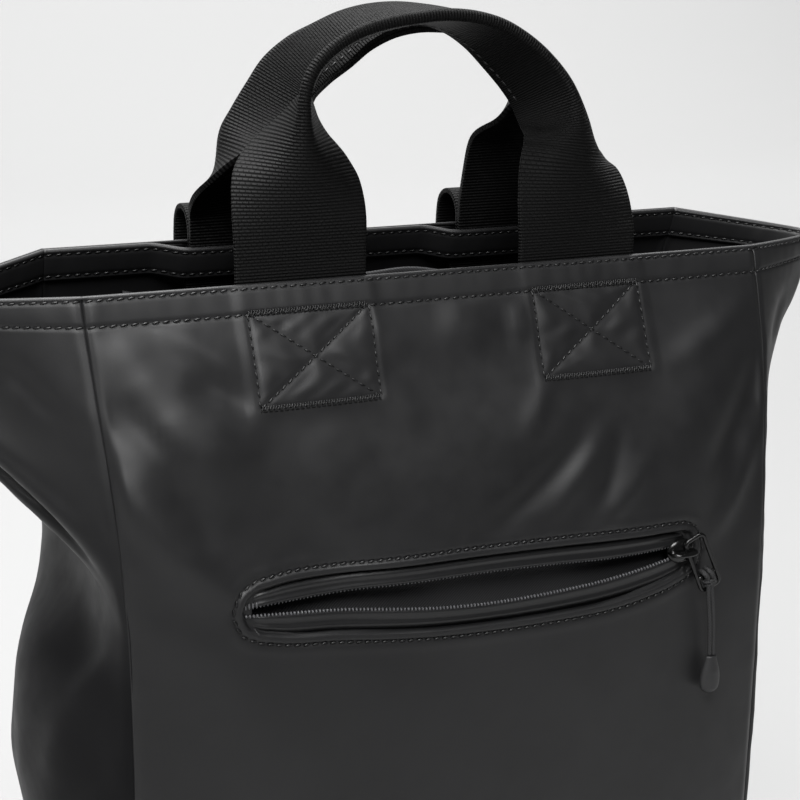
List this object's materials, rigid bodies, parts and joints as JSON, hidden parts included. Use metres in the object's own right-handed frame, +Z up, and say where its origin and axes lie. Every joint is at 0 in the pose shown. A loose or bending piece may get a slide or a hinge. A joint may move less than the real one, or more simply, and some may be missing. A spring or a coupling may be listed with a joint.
{
  "type": "convertible backpack",
  "caption": "Tall tote in coated cloth with two webbing carry handles, two shoulder straps on the back and an open zipped front pocket.",
  "frame": {"origin": "middle of the underside of the base, where the bag stands", "axes": "+Z up along the bag's height, -Y out of the front panel with the zipped pocket, +X to the right as the front is seen"},
  "size_m": [0.374, 0.1627, 0.4979],
  "materials": {
    "coated_cloth": "satin black coated cloth with soft creases",
    "webbing": "black ribbed webbing",
    "lining": "matt black twill lining",
    "zip_tape": "coated zip tape with a fine coil",
    "black_metal": "gloss black zip slider and puller",
    "cord": "thin black braided cord",
    "soft_plastic": "matt moulded black plastic"
  },
  "bodies": {
    "root": {"front_panel": "coated_cloth", "back_panel": "coated_cloth", "left_gusset": "coated_cloth", "right_gusset": "coated_cloth", "base_panel": "coated_cloth", "rim_facing": "coated_cloth", "front_handle": "webbing", "rear_handle": "webbing", "left_shoulder_strap": "webbing", "right_shoulder_strap": "webbing", "left_strap_slide": "soft_plastic", "right_strap_slide": "soft_plastic", "zip_tape_upper": "zip_tape", "zip_tape_lower": "zip_tape", "pocket_lining": "lining", "zip_slider": "black_metal", "zip_puller": "black_metal", "cord_hitch": "cord", "pull_cord": "cord", "cord_end": "soft_plastic", "inner_sleeve": "lining"}
  },
  "joints": []
}
